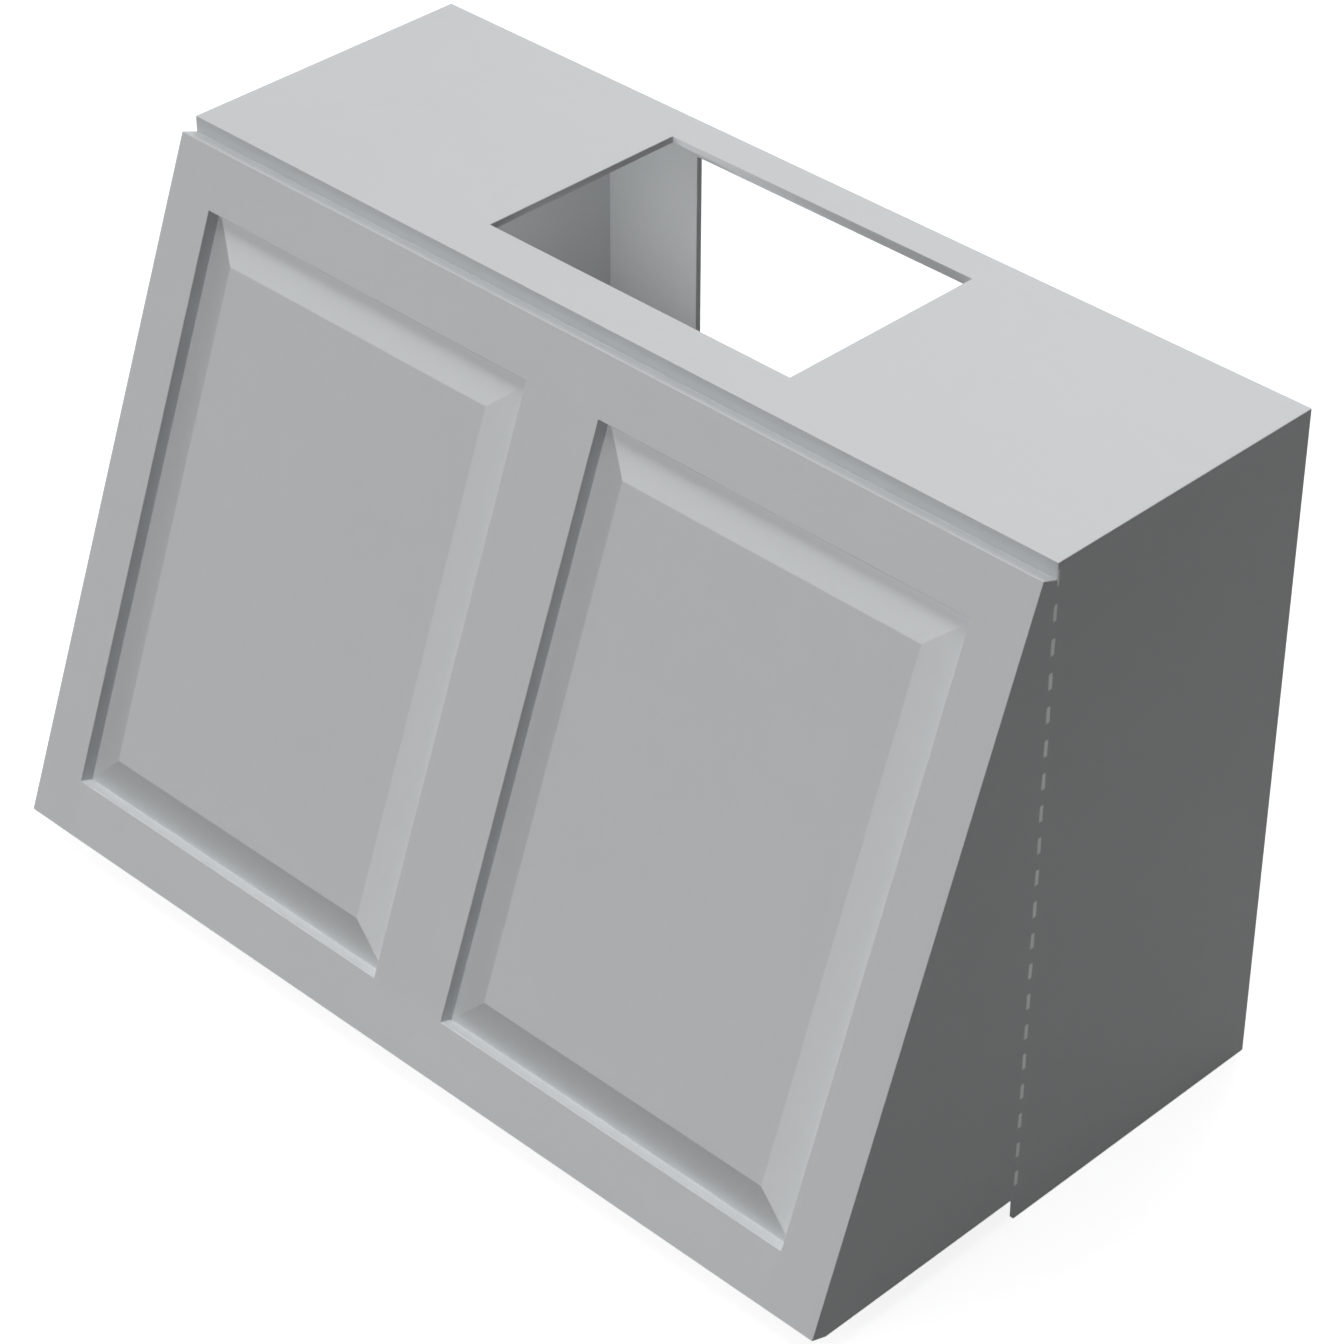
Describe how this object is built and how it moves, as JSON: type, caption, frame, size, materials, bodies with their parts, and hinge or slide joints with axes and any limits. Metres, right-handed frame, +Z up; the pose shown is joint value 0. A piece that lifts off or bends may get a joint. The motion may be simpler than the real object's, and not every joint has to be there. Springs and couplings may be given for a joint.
{
  "type": "range hood cover",
  "caption": "Wall-hung wooden cover for a kitchen range hood: a box with a duct cut-out in its top and a sloping, full-width front with raised panels.",
  "frame": {"origin": "under the middle of the whole cover, at the height of the box's lower rim", "axes": "+X across the front to the right as seen by someone in front of it, +Y back to the wall, +Z up"},
  "size_m": [0.9144, 0.5102, 0.6096],
  "materials": {
    "painted_wood": "matte light grey paint",
    "bare_wood": "planed, unfinished",
    "zinc_steel": "zinc plated",
    "soft_spacer": "matte"
  },
  "bodies": {
    "root": {"left_side_panel": "painted_wood", "right_side_panel": "painted_wood", "top_panel": "painted_wood", "bottom_panel": "painted_wood", "back_panel": "painted_wood", "left_partition": "painted_wood", "right_partition": "painted_wood", "front_top_rail": "painted_wood", "front_bottom_rail": "painted_wood", "front_left_stile": "painted_wood", "front_right_stile": "painted_wood", "left_return": "painted_wood", "right_return": "painted_wood", "soffit": "painted_wood", "fascia_left_stile": "painted_wood", "fascia_right_stile": "painted_wood", "fascia_mullion": "painted_wood", "fascia_top_rail": "painted_wood", "fascia_bottom_rail": "painted_wood", "left_raised_panel": "painted_wood", "right_raised_panel": "painted_wood", "left_hanging_rail": "bare_wood", "right_hanging_rail": "bare_wood", "lower_hanging_rail": "bare_wood", "soffit_cleat": "bare_wood", "left_mounting_cleat": "bare_wood", "right_mounting_cleat": "bare_wood", "left_fascia_cleat": "bare_wood", "right_fascia_cleat": "bare_wood", "glue_block_row": "bare_wood", "rail_dowels": "bare_wood", "return_dowels": "bare_wood", "partition_screws": "zinc_steel", "wedge_screws": "zinc_steel", "fascia_screws": "zinc_steel", "back_panel_screws": "zinc_steel", "panel_spacers": "soft_spacer"}
  },
  "joints": []
}
